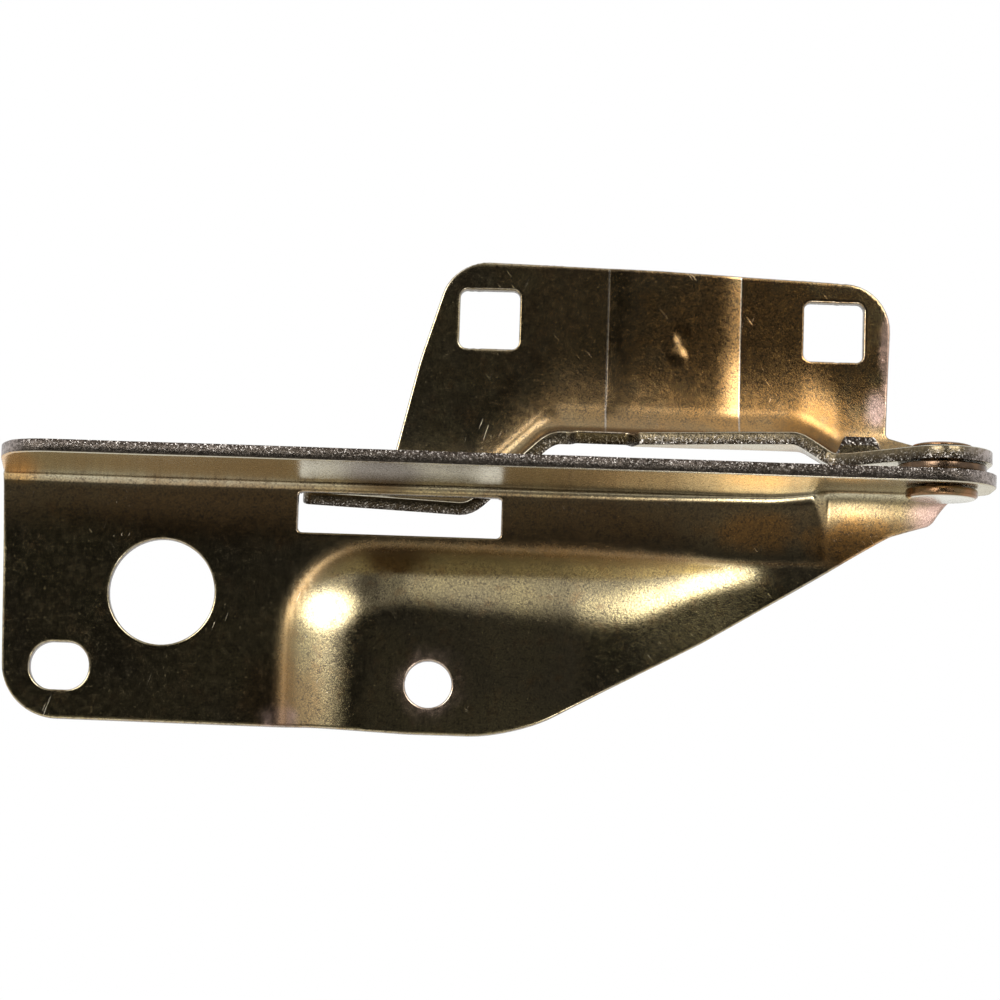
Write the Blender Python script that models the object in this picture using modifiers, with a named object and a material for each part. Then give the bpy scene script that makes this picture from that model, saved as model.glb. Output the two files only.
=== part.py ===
# Bonnet hinge: two pressed steel brackets that turn on one rivet.
#
# Frame: the origin is on the pad that rests on the wing rail, beside the fixing hole.
# +X runs along the hinge towards its pivot, +Z runs along the pivot rivet, and +Y is
# the side that the bonnet lies on, which is up in the car. Lengths are in metres.

import math

import bmesh
import bpy
import numpy as np

mm = 0.001
arc_step = math.radians(12)

# Sheet metal
sheet = 2.5 * mm
seat_gap = 0.3 * mm

# Body bracket: plate
pad_rise = 4.0 * mm
plate_left_top = -96.0 * mm
plate_left_bottom = -94.3 * mm
plate_bottom = -8.6 * mm
pad_bottom = -9.65 * mm
plate_corner = 10.5 * mm
nose_start = 2.0 * mm
nose_radius = 33.0 * mm
slope_low = (37.0 * mm, 9.15 * mm)
slope_high = (72.5 * mm, 30.9 * mm)
slope_tip = (80.4 * mm, 33.1 * mm)
slope_end = 84.0 * mm
slope_low_radius = 120.0 * mm
slope_high_radius = 6.0 * mm
slope_tip_radius = 2.5 * mm

# Body bracket: flange
flange_underside = 38.8 * mm
flange_left = -93.6 * mm
bend_radius = 2.7 * mm
flange_left_corner = 10.0 * mm
pivot_end_radius = 10.1 * mm

# Body bracket: raised pad
pad_left = -42.3 * mm
pad_top = 25.6 * mm
pad_corner = 18.4 * mm
slope_width_left = 16.6 * mm
slope_width_top = 13.0 * mm
pad_fade_start = 20.0 * mm
pad_fade_end = 58.0 * mm
pad_fade_left = 0.25
tip_bend_radius = 6.5 * mm
tip_crease = 57.5 * mm
tip_blend = 3.0 * mm

# Body bracket: holes
bolt_hole_x = -14.0 * mm
bolt_hole_z = -0.2 * mm
bolt_hole_diameter = 8.8 * mm
access_hole_x = -65.1 * mm
access_hole_z = 15.9 * mm
access_hole_diameter = 20.0 * mm
oval_hole_x = -83.8 * mm
oval_hole_z = 1.3 * mm
oval_hole_length = 11.2 * mm
oval_hole_width = 9.0 * mm
window_left = -39.9 * mm
window_right = -1.3 * mm
window_bottom = 28.1 * mm
window_top = 35.8 * mm
window_corner = 0.9 * mm

# Pivot
pivot_x = 80.4 * mm
pivot_y = -8.9 * mm
shank_diameter = 8.0 * mm
rivet_head_diameter = 13.4 * mm
rivet_head_height = 1.8 * mm
rivet_tail_diameter = 11.4 * mm
rivet_tail_height = 1.0 * mm
bush_wall = 1.1 * mm
washer_diameter = 16.6 * mm
washer_thickness = 1.4 * mm
bore_gap = 0.25 * mm

# Bonnet bracket: plate
leaf_front = 13.3 * mm
leaf_height = 33.75 * mm
leaf_left_low = -22.6 * mm
leaf_left_break = -18.1 * mm
leaf_left_break_drop = 19.95 * mm
leaf_left_high = -12.1 * mm
leaf_top_break = 28.0 * mm
leaf_top_break_drop = 0.75 * mm
leaf_right_high = 73.3 * mm
leaf_top_drop = 2.4 * mm
leaf_right = 72.5 * mm
leaf_left_radius = 9.0 * mm
leaf_right_radius = 9.2 * mm
edge_blend = 50.0 * mm
leaf_tab_start = 5.4 * mm
leaf_tab_end = 0.7 * mm
square_hole = 11.6 * mm
square_hole_corner = 1.4 * mm
square_hole_left = -4.8 * mm
square_hole_right = 62.1 * mm
square_hole_left_drop = 11.35 * mm
square_hole_right_drop = 11.75 * mm
swage_left = 18.2 * mm
swage_right = 44.0 * mm
swage_depth = 1.0 * mm
swage_ramp = 1.4 * mm

# Bonnet bracket: joggled flange, by its top surface
leaf_bend_radius = 4.5 * mm
tail_end = -39.4 * mm
tail_above_window = 0.8 * mm
tail_fall = 1.4 * mm
ramp_foot = -7.9 * mm
ramp_top = 7.3 * mm
level_rise = 3.8 * mm
joggle_start = 54.3 * mm
joggle_end = 61.0 * mm
tail_back_gap = 1.0 * mm
notch_left = 11.0 * mm
notch_right = 22.5 * mm
notch_depth = 1.6 * mm
web_start_reach = 5.2 * mm
web_end_reach = -0.8 * mm
neck_x = 61.0 * mm
neck_run = 16.6 * mm
leaf_end_radius = 9.3 * mm
joggle_skew = 0.27
joggle_blend = 8.0 * mm
lug_left = 61.2 * mm
lug_right = 70.4 * mm
lug_near = 1.0 * mm
lug_far = 7.8 * mm
lug_height = 3.0 * mm
lug_ramp = 1.0 * mm
lug_slit = 0.5 * mm

# Values that follow from the ones above
plate_front = pad_rise
plate_back = plate_front + sheet
flange_top = flange_underside + sheet
leaf_pivot_level = flange_top + washer_thickness + 2 * seat_gap + sheet
leaf_upper_level = leaf_pivot_level + level_rise
flange_reach = pivot_y - pivot_end_radius
leaf_reach = pivot_y - leaf_end_radius
tail_reach = plate_back + tail_back_gap
bush_outer = shank_diameter + 2 * (bore_gap + bush_wall)
leaf_top = leaf_upper_level + leaf_height
tail_height_left = window_top + tail_above_window
tail_height_right = tail_height_left - tail_fall

parts = None
cutters = None


def clear_scene():
    for old in list(bpy.data.objects):
        bpy.data.objects.remove(old, do_unlink=True)


def new_collection(name):
    collection = bpy.data.collections.new(name)
    bpy.context.scene.collection.children.link(collection)
    return collection


def steel_material(name, colour, roughness, metallic=1.0):
    material = bpy.data.materials.new(name)
    material.use_nodes = True
    shader = material.node_tree.nodes["Principled BSDF"]
    shader.inputs["Base Color"].default_value = (*colour, 1.0)
    shader.inputs["Roughness"].default_value = roughness
    shader.inputs["Metallic"].default_value = metallic
    return material


def add_part(name, mesh, material):
    part = bpy.data.objects.new(name, mesh)
    mesh.materials.append(material)
    parts.objects.link(part)
    return part


def add_cutter(name, mesh):
    cutter = bpy.data.objects.new(name, mesh)
    cutter.hide_render = True
    cutter.display_type = "WIRE"
    cutters.objects.link(cutter)
    return cutter


def boolean(part, cutter, operation):
    cut = part.modifiers.new(cutter.name, "BOOLEAN")
    cut.operation = operation
    cut.object = cutter
    cut.solver = "EXACT"


def unit(arrow):
    return arrow / np.linalg.norm(arrow)


def rounded(corners, closed=True):
    """Points of a flat outline whose corners (u, v, radius) are turned into arcs.

    Where two arcs would meet on a short side, both are limited to share it.
    """
    count = len(corners)
    spots = [np.array(corner[:2]) for corner in corners]
    halves = []
    trims = []
    for index, spot in enumerate(spots):
        before = unit(spots[index - 1] - spot)
        after = unit(spots[(index + 1) % count] - spot)
        half = math.acos(max(-1.0, min(1.0, float(before @ after)))) / 2
        square_end = not closed and index in (0, count - 1)
        halves.append(half)
        trims.append(0.0 if square_end else corners[index][2] / math.tan(half))
    for index in range(count):
        following = (index + 1) % count
        length = float(np.linalg.norm(spots[following] - spots[index]))
        asked = trims[index] + trims[following]
        if asked > 0.98 * length:
            trims[index] *= 0.98 * length / asked
            trims[following] *= 0.98 * length / asked
    points = []
    for index, spot in enumerate(spots):
        if trims[index] <= 0:
            points.append(spot)
            continue
        before = unit(spots[index - 1] - spot)
        after = unit(spots[(index + 1) % count] - spot)
        radius = trims[index] * math.tan(halves[index])
        centre = spot + unit(before + after) * radius / math.sin(halves[index])
        start = spot + before * trims[index] - centre
        turn = math.pi - 2 * halves[index]
        side = 1.0 if before[0] * after[1] - before[1] * after[0] < 0 else -1.0
        steps = max(2, math.ceil(turn / arc_step))
        for step in range(steps + 1):
            angle = side * turn * step / steps
            cosine, sine = math.cos(angle), math.sin(angle)
            arm = np.array((start[0] * cosine - start[1] * sine, start[0] * sine + start[1] * cosine))
            points.append(centre + arm)
    return points


def prism(name, outline, low, high, along_y):
    """A cutter: a flat outline in XZ pushed along Y, or one in XY pushed along Z."""
    curve = bpy.data.curves.new(name, "CURVE")
    curve.dimensions = "2D"
    curve.fill_mode = "BOTH"
    curve.extrude = (high - low) / 2
    spline = curve.splines.new("POLY")
    spline.points.add(len(outline) - 1)
    for point, (u, v) in zip(spline.points, outline):
        point.co = (u, v, 0, 1)
    spline.use_cyclic_u = True
    shape = bpy.data.objects.new(name + "_curve", curve)
    cutters.objects.link(shape)
    bpy.context.view_layer.update()
    graph = bpy.context.evaluated_depsgraph_get()
    mesh = bpy.data.meshes.new_from_object(shape.evaluated_get(graph))
    bpy.data.objects.remove(shape, do_unlink=True)
    middle = (high + low) / 2
    bm = bmesh.new()
    bm.from_mesh(mesh)
    bmesh.ops.remove_doubles(bm, verts=bm.verts, dist=0.001 * mm)
    for vert in bm.verts:
        u, v, w = vert.co
        vert.co = (u, middle - w, v) if along_y else (u, v, middle + w)
    bmesh.ops.recalc_face_normals(bm, faces=bm.faces)
    bm.to_mesh(mesh)
    bm.free()
    return add_cutter(name, mesh)


def drill(name, diameter, centre, low, high, along_y, sides=36):
    circle = []
    for side in range(sides):
        angle = 2 * math.pi * side / sides
        circle.append((centre[0] + diameter / 2 * math.cos(angle), centre[1] + diameter / 2 * math.sin(angle)))
    return prism(name, circle, low, high, along_y)


def sheet_mesh(name, columns, rows, place):
    """A grid of columns by rows, each point set by place(column, row)."""
    bm = bmesh.new()
    made = bmesh.ops.create_grid(bm, x_segments=len(columns) - 1, y_segments=len(rows) - 1, size=1.0)
    for vert in made["verts"]:
        column = round((vert.co.x + 1) / 2 * (len(columns) - 1))
        row = round((vert.co.y + 1) / 2 * (len(rows) - 1))
        vert.co = place(columns[column], rows[row])
    bmesh.ops.recalc_face_normals(bm, faces=bm.faces)
    mesh = bpy.data.meshes.new(name)
    bm.to_mesh(mesh)
    bm.free()
    return mesh


def face_towards(mesh, direction):
    total = sum(face.area * face.normal.dot(direction) for face in mesh.polygons)
    if total < 0:
        mesh.flip_normals()


def thicken(part):
    wall = part.modifiers.new("sheet", "SOLIDIFY")
    wall.thickness = sheet
    wall.offset = -1.0
    wall.use_even_offset = True


def press(part, applies, offset):
    """Push both faces of the sheet up by offset(x, y) wherever applies(point) holds."""
    bpy.context.view_layer.update()
    graph = bpy.context.evaluated_depsgraph_get()
    mesh = bpy.data.meshes.new_from_object(part.evaluated_get(graph))
    part.modifiers.clear()
    part.data = mesh
    for vert in mesh.vertices:
        if applies(vert.co):
            vert.co.z += offset(vert.co.x, vert.co.y)


def spaced(low, high, step):
    count = max(1, round((high - low) / step))
    return [low + (high - low) * index / count for index in range(count)]


def two_radius_step(share):
    """Rise of a pressed slope from 0 to 1: a tight bend at its foot and a wide one at its crown."""
    tight, wide = 0.16, 0.45
    area = tight / 2 + (wide - tight) + (1 - wide) / 2
    share = max(0.0, min(1.0, share))
    if share < tight:
        return share * share / (2 * tight) / area
    if share < wide:
        return (tight / 2 + share - tight) / area
    past = share - wide
    return (tight / 2 + wide - tight + past - past * past / (2 * (1 - wide))) / area


def smooth(share):
    share = max(0.0, min(1.0, share))
    return share * share * (3 - 2 * share)


def body_bend(x):
    """Inner radius of the body bracket's bend: it opens out beyond the crease, at the tip."""
    return bend_radius + (tip_bend_radius - bend_radius) * smooth((x - tip_crease) / tip_blend)


def pad_offset(x, z):
    """How far the body plate's front stands out towards the wing rail at x, z."""
    corner_x = pad_left + pad_corner
    corner_z = pad_top - pad_corner
    inside = pad_corner - math.hypot(max(corner_x - x, 0.0), max(z - corner_z, 0.0))
    fade = smooth((x - pad_fade_start) / (pad_fade_end - pad_fade_start))
    width = np.interp(x, (pad_left + slope_width_left, corner_x + 5 * mm), (slope_width_left, slope_width_top))
    width = width * (1 - 0.8 * fade)
    height = pad_rise * (1 - (1 - pad_fade_left) * fade)
    return height * two_radius_step(inside / width)


def body_bracket(material):
    columns = spaced(plate_left_top - 3 * mm, pad_left - 1 * mm, 12 * mm)
    columns += spaced(pad_left - 1 * mm, pad_left + slope_width_left + 2 * mm, 1.8 * mm)
    columns += spaced(pad_left + slope_width_left + 2 * mm, pad_fade_start, 4 * mm)
    columns += spaced(pad_fade_start, tip_crease, 2.6 * mm)
    columns += spaced(tip_crease, tip_crease + tip_blend, 0.75 * mm)
    columns += [tip_crease + tip_blend, pivot_x + pivot_end_radius + 3 * mm]
    upper = pad_top + 0.5 * mm
    rows = [("plate", z) for z in spaced(plate_bottom - 3 * mm, pad_top - slope_width_top - 2 * mm, 6 * mm)]
    rows += [("plate", z) for z in spaced(pad_top - slope_width_top - 2 * mm, upper, 1.6 * mm)]
    rows += [("above", share) for share in (0.0, 0.5)]
    rows += [("bend", math.radians(angle)) for angle in range(0, 91, 15)]
    rows += [("flange", flange_reach - 3 * mm)]

    def place(x, row):
        zone, value = row
        radius = body_bend(x)
        bend_start = flange_underside - radius
        if zone == "plate":
            return x, plate_front - pad_offset(x, value), value
        if zone == "above":
            return x, plate_front, upper + value * (bend_start - upper)
        if zone == "bend":
            return x, plate_front - radius * (1 - math.cos(value)), bend_start + radius * math.sin(value)
        return x, value, flange_underside

    mesh = sheet_mesh("body_bracket", columns, rows, place)
    face_towards(mesh, (0, -1, -1))
    part = add_part("body_bracket", mesh, material)
    thicken(part)

    far = 30 * mm
    side = [
        (plate_left_bottom, plate_bottom, plate_corner),
        (pad_left + 0.4 * slope_width_left, plate_bottom - 0.35 * mm, 20 * mm),
        (bolt_hole_x - 4 * mm, pad_bottom, 30 * mm),
        (nose_start, pad_bottom, nose_radius),
        (*slope_low, slope_low_radius),
        (*slope_high, slope_high_radius),
        (*slope_tip, slope_tip_radius),
        (slope_end, flange_underside - 0.1 * mm, 0.5 * mm),
        (pivot_x + far, flange_underside - 0.1 * mm, 0),
        (pivot_x + far, flange_top + far, 0),
        (plate_left_top, flange_top + far, 0),
        (plate_left_top, flange_underside, 0),
    ]
    boolean(part, prism("body_outline", rounded(side), -far, far, True), "INTERSECT")
    right = pivot_x + pivot_end_radius
    plan = [
        (flange_left, flange_reach, flange_left_corner),
        (right, flange_reach, pivot_end_radius),
        (right, pivot_y + pivot_end_radius, pivot_end_radius),
        (slope_end + seat_gap, pivot_y + pivot_end_radius, 0.5 * mm),
        (slope_end + seat_gap, far, 0),
        (plate_left_top - 1 * mm, far, 0),
        (plate_left_top, plate_front, 0),
    ]
    boolean(part, prism("body_flange_outline", rounded(plan), -far, flange_top + far, False), "INTERSECT")

    window = [
        (window_left, window_bottom, window_corner),
        (window_right, window_bottom, window_corner),
        (window_right, window_top, window_corner),
        (window_left, window_top, window_corner),
    ]
    half = oval_hole_width / 2
    oval = []
    for side_x, side_z in ((-1, -1), (1, -1), (1, 1), (-1, 1)):
        oval.append((oval_hole_x + side_x * oval_hole_length / 2, oval_hole_z + side_z * half, 0.98 * half))
    low, high = -1 * mm, plate_back + 1 * mm
    boolean(part, prism("window_cut", rounded(window), low, high, True), "DIFFERENCE")
    boolean(part, prism("oval_hole_cut", rounded(oval), low, high, True), "DIFFERENCE")
    access = drill("access_hole_cut", access_hole_diameter, (access_hole_x, access_hole_z), low, high, True)
    boolean(part, access, "DIFFERENCE")
    bolt = drill("bolt_hole_cut", bolt_hole_diameter, (bolt_hole_x, bolt_hole_z), low - pad_rise, high, True)
    boolean(part, bolt, "DIFFERENCE")
    bore = shank_diameter + 2 * bore_gap
    rivet_hole = drill("body_rivet_hole_cut", bore, (pivot_x, pivot_y),
                       flange_underside - 1 * mm, flange_top + 1 * mm, False)
    boolean(part, rivet_hole, "DIFFERENCE")
    return part


def leaf_path():
    """The bonnet bracket's flange seen from its edge: x and height of the top surface."""
    path = [
        (tail_end - 4 * mm, tail_height_left, 0),
        (ramp_foot, tail_height_right, 3.5 * mm),
        (ramp_top, leaf_upper_level, 6.0 * mm),
        (joggle_start, leaf_upper_level, 6.0 * mm),
        (joggle_end, leaf_pivot_level, 3.5 * mm),
        (pivot_x + pivot_end_radius + 4 * mm, leaf_pivot_level, 0),
    ]
    return rounded(path, closed=False)


def lug_offset(x, y):
    """Height of the pressed stop lug above the flange at x, y: lanced in front, ramped at the sides."""
    x = x - joggle_skew * (y - web_end_reach)
    inside = min(x - lug_left, lug_right - x, lug_far - y) / lug_ramp
    front = (y - lug_near) / lug_slit
    return lug_height * smooth(min(inside, front))


def joggle_share(x):
    """1 along the joggle and the lug, which both run askew, falling to 0 on both sides of them."""
    return smooth(min((x - joggle_start) / joggle_blend + 1, (lug_right - x) / joggle_blend + 1))


def ramp_stops(edge, run):
    """Where a grid needs lines to follow a smooth ramp of length run that starts at edge."""
    return [edge + run * share for share in (0.0, 0.33, 0.67, 1.0)]


def swage_offset(x):
    """How far the middle of the bonnet plate is pressed back from its two pads."""
    inside = min(x - swage_left, swage_right - x)
    return swage_depth * smooth((inside + swage_ramp / 2) / swage_ramp)


def bonnet_bracket(material):
    path = leaf_path()
    heights = [point[1] for point in path]
    places = [point[0] for point in path]
    extra = []
    for edge in (swage_left, swage_right):
        extra += [edge - swage_ramp / 2, edge, edge + swage_ramp / 2]
    extra += ramp_stops(lug_left, lug_ramp) + ramp_stops(lug_right, -lug_ramp)
    columns = []
    for x in sorted(places + extra):
        if not columns or x - columns[-1] > 0.2 * mm:
            columns.append(x)
    bend_centre = leaf_front - leaf_bend_radius
    stops = [lug_near, lug_near + lug_slit] + sorted(ramp_stops(lug_far, -lug_ramp))
    rows = [("flange", y) for y in (leaf_reach - 3 * mm, *stops, bend_centre)]
    rows += [("bend", math.radians(angle)) for angle in range(15, 90, 15)]
    rows += [("plate", 0.0), ("plate", 1.0)]
    top = leaf_top + 3 * mm

    def place(x, row):
        zone, value = row
        height = float(np.interp(x, places, heights))
        swage = swage_offset(x)
        run = min(max(value, web_end_reach), bend_centre) if zone == "flange" else bend_centre
        x = x + joggle_skew * (run - web_end_reach) * joggle_share(x)
        if zone == "flange":
            return x, value, height
        if zone == "bend":
            lean = leaf_bend_radius * math.sin(value)
            lift = leaf_bend_radius * (1 - math.cos(value))
            return x, bend_centre + lean - swage * math.sin(value) ** 2, height + lift
        foot = height + leaf_bend_radius
        return x, leaf_front - swage, foot + value * (top - foot)

    mesh = sheet_mesh("bonnet_bracket", columns, rows, place)
    face_towards(mesh, (0, -1, 1))
    part = add_part("bonnet_bracket", mesh, material)
    thicken(part)
    press(part, lambda spot: spot.z < leaf_pivot_level + sheet, lug_offset)

    far = 40 * mm
    side = [
        (tail_end - 3 * mm, 0, 0),
        (pivot_x + far, 0, 0),
        (pivot_x + far, leaf_pivot_level + leaf_tab_end, 0),
        (pivot_x + pivot_end_radius, leaf_pivot_level + leaf_tab_end, 2 * mm),
        (leaf_right, leaf_pivot_level + leaf_tab_start, 1 * mm),
        (leaf_right_high, leaf_top - leaf_top_drop, leaf_right_radius),
        (leaf_top_break, leaf_top - leaf_top_break_drop, edge_blend),
        (leaf_left_high, leaf_top, leaf_left_radius),
        (leaf_left_break, leaf_top - leaf_left_break_drop, edge_blend),
        (leaf_left_low, leaf_top - 2 * leaf_left_break_drop, 6 * mm),
        (leaf_left_low - 1 * mm, tail_height_left + 1.2 * mm, 2 * mm),
        (tail_end - 3 * mm, tail_height_left + 1.2 * mm, 0),
    ]
    boolean(part, prism("bonnet_outline", rounded(side), -far, far, True), "INTERSECT")
    right = pivot_x + leaf_end_radius
    plan = [
        (tail_end, tail_reach, 3.4 * mm),
        (notch_left, tail_reach, 1 * mm),
        (notch_left + 1.5 * mm, tail_reach + notch_depth, 1 * mm),
        (notch_right, tail_reach + notch_depth, 1 * mm),
        (notch_right + 2 * mm, web_start_reach, 1 * mm),
        (neck_x, web_end_reach, 3 * mm),
        (neck_x + neck_run, leaf_reach, 6 * mm),
        (right, leaf_reach, leaf_end_radius),
        (right, far, 0),
        (tail_end, far, 0),
    ]
    boolean(part, prism("bonnet_flange_outline", rounded(plan), -far, 3 * far, False), "INTERSECT")

    left = (square_hole_left, leaf_top - square_hole_left_drop)
    right = (square_hole_right, leaf_top - square_hole_right_drop)
    for name, (x, z) in (("left", left), ("right", right)):
        half = square_hole / 2
        square = [(x + u * half, z + v * half, square_hole_corner) for u, v in ((-1, -1), (1, -1), (1, 1), (-1, 1))]
        low, high = leaf_front - swage_depth - 1 * mm, leaf_front + sheet + 1 * mm
        boolean(part, prism(name + "_square_hole_cut", rounded(square), low, high, True), "DIFFERENCE")
    bore = bush_outer + 2 * bore_gap
    low, high = leaf_pivot_level - sheet - 1 * mm, leaf_pivot_level + 1 * mm
    boolean(part, drill("bonnet_rivet_hole_cut", bore, (pivot_x, pivot_y), low, high, False), "DIFFERENCE")
    return part


def turned(name, profile, material, sides=40, ring=False):
    """A body of revolution on the pivot: profile (radius, height) turned by a Screw."""
    bm = bmesh.new()
    verts = [bm.verts.new((radius, 0, height)) for radius, height in profile]
    for first, second in zip(verts, verts[1:]):
        bm.edges.new((first, second))
    if ring:
        bm.edges.new((verts[-1], verts[0]))
    mesh = bpy.data.meshes.new(name)
    bm.to_mesh(mesh)
    bm.free()
    part = add_part(name, mesh, material)
    part.location = (pivot_x, pivot_y, 0)
    screw = part.modifiers.new("turn", "SCREW")
    screw.steps = sides
    screw.render_steps = sides
    screw.use_merge_vertices = True
    screw.merge_threshold = 0.01 * mm
    screw.use_smooth_shade = False
    return part


def pivot_rivet(material):
    """Round head below the body flange, shank, and the low tail that is formed over the bush."""
    head = rivet_head_diameter / 2
    tail = rivet_tail_diameter / 2
    shank = shank_diameter / 2
    head_top = flange_underside - seat_gap
    head_bottom = head_top - rivet_head_height
    tail_bottom = leaf_pivot_level + seat_gap + seat_gap
    tail_top = tail_bottom + rivet_tail_height
    round_off = 0.5 * mm
    profile = [
        (0, tail_top),
        (tail * 0.55, tail_top - 0.1 * mm),
        (tail * 0.88, tail_top - 0.4 * mm),
        (tail, tail_bottom + 0.25 * mm),
        (tail, tail_bottom),
        (shank, tail_bottom),
        (shank, head_top),
        (head, head_top),
        (head, head_bottom + round_off),
        (head - 0.3 * round_off, head_bottom + 0.3 * round_off),
        (head - round_off, head_bottom),
        (0, head_bottom),
    ]
    return turned("pivot_rivet", profile, material)


def ring_part(name, inner, outer, low, high, material):
    profile = [(outer, high), (outer, low), (inner, low), (inner, high)]
    return turned(name, profile, material, ring=True)


def spacer_washer(material):
    """Flat washer that keeps the two flanges apart."""
    inner = shank_diameter / 2 + bore_gap
    low = flange_top + seat_gap
    return ring_part("spacer_washer", inner, washer_diameter / 2, low, low + washer_thickness, material)


def pivot_bush(material):
    """Sleeve in the bonnet bracket's hole: it takes the rivet's grip, so the bracket can turn."""
    inner = shank_diameter / 2 + bore_gap
    low = leaf_pivot_level - sheet
    high = leaf_pivot_level + seat_gap
    return ring_part("pivot_bush", inner, bush_outer / 2, low, high, material)


def build():
    global parts, cutters
    clear_scene()
    parts = new_collection("bonnet_hinge")
    cutters = new_collection("cutters")
    body = body_bracket(steel_material("body_zinc", (0.30, 0.25, 0.13), 0.38))
    leaf = bonnet_bracket(steel_material("bonnet_zinc", (0.33, 0.27, 0.13), 0.38))
    rivet = pivot_rivet(steel_material("rivet_steel", (0.55, 0.42, 0.26), 0.30))
    washer = spacer_washer(steel_material("washer_steel", (0.16, 0.12, 0.08), 0.45))
    bush = pivot_bush(steel_material("bush_steel", (0.45, 0.38, 0.22), 0.35))
    pivot = bpy.data.objects.new("pivot_axis", None)
    pivot.location = (pivot_x, pivot_y, leaf_pivot_level)
    parts.objects.link(pivot)
    return body, leaf, rivet, washer, bush, pivot


build()
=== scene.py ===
# Bonnet hinge, dressed: two yellow-passivated steel pressings on one rivet.
# Each pressing is made the way the real one is: a flat blank with its holes is cut out
# and given rolled-over edges, then it is formed. Blank sizes are in millimetres.

import math

import bmesh
import bpy
from mathutils import Matrix, Vector, noise


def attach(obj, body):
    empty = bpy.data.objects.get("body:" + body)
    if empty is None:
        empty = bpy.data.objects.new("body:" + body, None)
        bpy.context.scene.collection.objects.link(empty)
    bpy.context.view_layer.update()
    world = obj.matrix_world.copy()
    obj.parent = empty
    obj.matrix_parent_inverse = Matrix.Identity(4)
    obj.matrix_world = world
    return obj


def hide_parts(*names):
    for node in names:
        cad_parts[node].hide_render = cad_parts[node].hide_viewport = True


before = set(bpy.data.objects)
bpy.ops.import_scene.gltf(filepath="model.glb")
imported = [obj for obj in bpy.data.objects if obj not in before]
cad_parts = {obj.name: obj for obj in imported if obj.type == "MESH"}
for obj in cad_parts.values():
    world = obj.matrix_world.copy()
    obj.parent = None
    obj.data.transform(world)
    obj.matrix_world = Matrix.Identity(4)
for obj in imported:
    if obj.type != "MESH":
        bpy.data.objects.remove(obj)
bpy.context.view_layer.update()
mm = 0.001
print("frame loaded")


# Shape helpers

def smooth(share):
    share = max(0.0, min(1.0, share))
    return share * share * (3 - 2 * share)


def softRamp(t, blend):
    # 0 before the corner and t after it, with a round fillet of half-length blend
    if t <= -blend:
        return 0.0
    return t if t >= blend else (t + blend) ** 2 / (4 * blend)


def evenly(low, high, step):
    count = max(1, round((high - low) / step))
    return [low + (high - low) * index / count for index in range(count + 1)]


def cornerTrim(before, spot, after, radius):
    # how far an arc of that radius reaches along the sides of a corner
    first = (Vector(before[:2]) - Vector(spot[:2])).normalized()
    second = (Vector(after[:2]) - Vector(spot[:2])).normalized()
    return radius / math.tan(first.angle(second) / 2)


def chain(bm, corners, level, closed=False, segments=10):
    # a wire through corners (x, y, radius), whose corners are rounded
    verts = [bm.verts.new((x, y, level)) for x, y, radius in corners]
    count = len(verts)
    for index in range(count if closed else count - 1):
        bm.edges.new((verts[index], verts[(index + 1) % count]))
    inner = range(count) if closed else range(1, count - 1)
    for index in inner:
        radius = corners[index][2]
        if radius > 0:
            trim = cornerTrim(corners[index - 1], corners[index], corners[(index + 1) % count], radius)
            bmesh.ops.bevel(bm, geom=[verts[index]], offset=trim, offset_type="OFFSET", segments=segments,
                            profile=0.5, affect="VERTICES", clamp_overlap=False, material=-1)


def refine(bm, longest):
    for edge in bm.edges[:]:
        cuts = math.ceil(edge.calc_length() / longest) - 1
        if cuts > 0:
            bmesh.ops.subdivide_edges(bm, edges=[edge], cuts=cuts)


def rollEdge(bm, towards, radius, steps):
    # rounds the rim of the flat faces that look along towards, and leaves a narrow flat ring
    ring = 0.45
    region = [face for face in bm.faces if face.normal.z * towards > 0.9]
    for step in range(steps):
        low, high = (math.pi / 2 * index / steps for index in (step, step + 1))
        bmesh.ops.inset_region(bm, faces=region, thickness=radius * (math.cos(low) - math.cos(high)),
                               depth=radius * (math.sin(high) - math.sin(low)),
                               use_even_offset=True, use_boundary=True)
    bmesh.ops.inset_region(bm, faces=region, thickness=ring, use_even_offset=True, use_boundary=True)
    return region


def cutAcross(bm, places, axis):
    # edge loops across the whole blank, for the form to bend
    normal = Vector((1, 0, 0)) if axis == "u" else Vector((0, 1, 0))
    for place in places:
        bmesh.ops.bisect_plane(bm, geom=bm.verts[:] + bm.edges[:] + bm.faces[:], dist=0.002,
                               plane_co=normal * place, plane_no=normal)


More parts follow.
